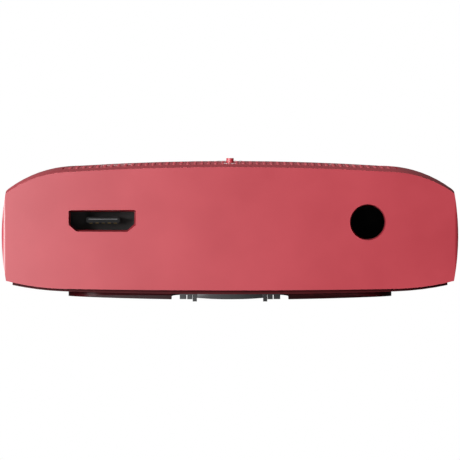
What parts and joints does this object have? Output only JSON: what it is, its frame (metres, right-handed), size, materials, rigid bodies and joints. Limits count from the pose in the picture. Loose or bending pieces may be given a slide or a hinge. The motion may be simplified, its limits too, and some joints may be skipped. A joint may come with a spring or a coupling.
{
  "type": "digital audio player",
  "caption": "Clip-on digital audio player with a pillow-shaped red housing, dotted key pad, display, Micro-USB and headphone sockets and a sprung belt clip.",
  "frame": {"origin": "centre of the footprint, level with the lowest point of the belt clip", "axes": "+Z is the front face with keys and display, -Y is the end with the Micro-USB and headphone sockets, +X is to the right seen from that end with the front face up"},
  "size_m": [0.0492, 0.068, 0.0154],
  "materials": {
    "red_shell": "satin metallic-look red paint on moulded plastic",
    "dark_red_shell": "deep red gloss plastic of the underside",
    "red_keys": "satin red with raised dots",
    "red_button": "satin red",
    "black_plastic": "fine matt grain",
    "screw_steel": "dark nickel",
    "window_glass": "clear gloss with a black border",
    "display_glass": "colour display panel",
    "amber_film": "polyimide film",
    "spring_steel": "bright spring steel",
    "circuit_board": "green solder mask",
    "chip_plastic": "moulded epoxy",
    "white_plastic": "natural nylon",
    "battery_foil": "laminated foil",
    "foam": "thin adhesive foam",
    "lead_rubber": "insulated wire",
    "socket_steel": "stamped steel",
    "gold": "gold plating",
    "card_plastic": "moulded card",
    "chrome": "polished chrome plating",
    "grip_rubber": "soft ribbed rubber"
  },
  "bodies": {
    "housing": {"main_housing": "red_shell", "back_cover": "dark_red_shell", "cover_screws": "screw_steel", "board_screws": "screw_steel", "bracket_screws": "screw_steel", "display_window": "window_glass", "display_panel": "display_glass", "display_tray": "black_plastic", "display_flex": "amber_film", "mid_frame": "black_plastic", "key_domes": "spring_steel", "main_board": "circuit_board", "board_chips": "chip_plastic", "board_connectors": "white_plastic", "battery": "battery_foil", "battery_pad": "foam", "battery_leads": "lead_rubber", "usb_shell": "socket_steel", "usb_tongue": "black_plastic", "usb_contacts": "gold", "jack_body": "black_plastic", "jack_contacts": "gold", "card_socket": "socket_steel", "side_switches": "socket_steel", "hinge_bracket": "chrome", "spring_cover": "chrome", "hinge_pin": "chrome", "hinge_bushes": "chrome", "clip_spring": "spring_steel"},
    "play": {"play_button": "red_button"},
    "up": {"key_up": "red_keys"},
    "down": {"key_down": "red_keys"},
    "left": {"key_left": "red_keys"},
    "right": {"key_right": "red_keys"},
    "volume_up": {"volume_up_button": "red_button"},
    "volume_down": {"volume_down_button": "red_button"},
    "slider": {"power_slider": "black_plastic"},
    "card": {"memory_card": "card_plastic"},
    "clip": {"clip_plate": "dark_red_shell", "clip_leaf": "chrome", "clip_rivets": "chrome", "clip_grip": "grip_rubber"}
  },
  "joints": [
    {"name": "play_press", "type": "slide", "parent": "housing", "child": "play", "axis": [0, 0, -1], "range_m": [0, 0.00025], "stiffness_N_per_m": 1500},
    {"name": "up_press", "type": "slide", "parent": "housing", "child": "up", "axis": [0, 0, -1], "range_m": [0, 0.00025], "stiffness_N_per_m": 1500},
    {"name": "down_press", "type": "slide", "parent": "housing", "child": "down", "axis": [0, 0, -1], "range_m": [0, 0.00025], "stiffness_N_per_m": 1500},
    {"name": "left_press", "type": "slide", "parent": "housing", "child": "left", "axis": [0, 0, -1], "range_m": [0, 0.00025], "stiffness_N_per_m": 1500},
    {"name": "right_press", "type": "slide", "parent": "housing", "child": "right", "axis": [0, 0, -1], "range_m": [0, 0.00025], "stiffness_N_per_m": 1500},
    {"name": "volume_up_press", "type": "slide", "parent": "housing", "child": "volume_up", "axis": [1, 0, 0], "range_m": [0, 0.0003], "stiffness_N_per_m": 1500},
    {"name": "volume_down_press", "type": "slide", "parent": "housing", "child": "volume_down", "axis": [1, 0, 0], "range_m": [0, 0.0003], "stiffness_N_per_m": 1500},
    {"name": "slider_slide", "type": "slide", "parent": "housing", "child": "slider", "axis": [0, 1, 0], "range_m": [-0.0014, 0.0014]},
    {"name": "card_slide", "type": "slide", "parent": "housing", "child": "card", "axis": [0, 1, 0], "range_m": [-0.0008, 0.004]},
    {"name": "clip_hinge", "type": "hinge", "parent": "housing", "child": "clip", "pos_m": [0, -0.0255, 0.002], "axis": [-1, 0, 0], "range_deg": [0, 14], "stiffness_Nm_per_rad": 0.06, "springref_deg": -11.46}
  ]
}
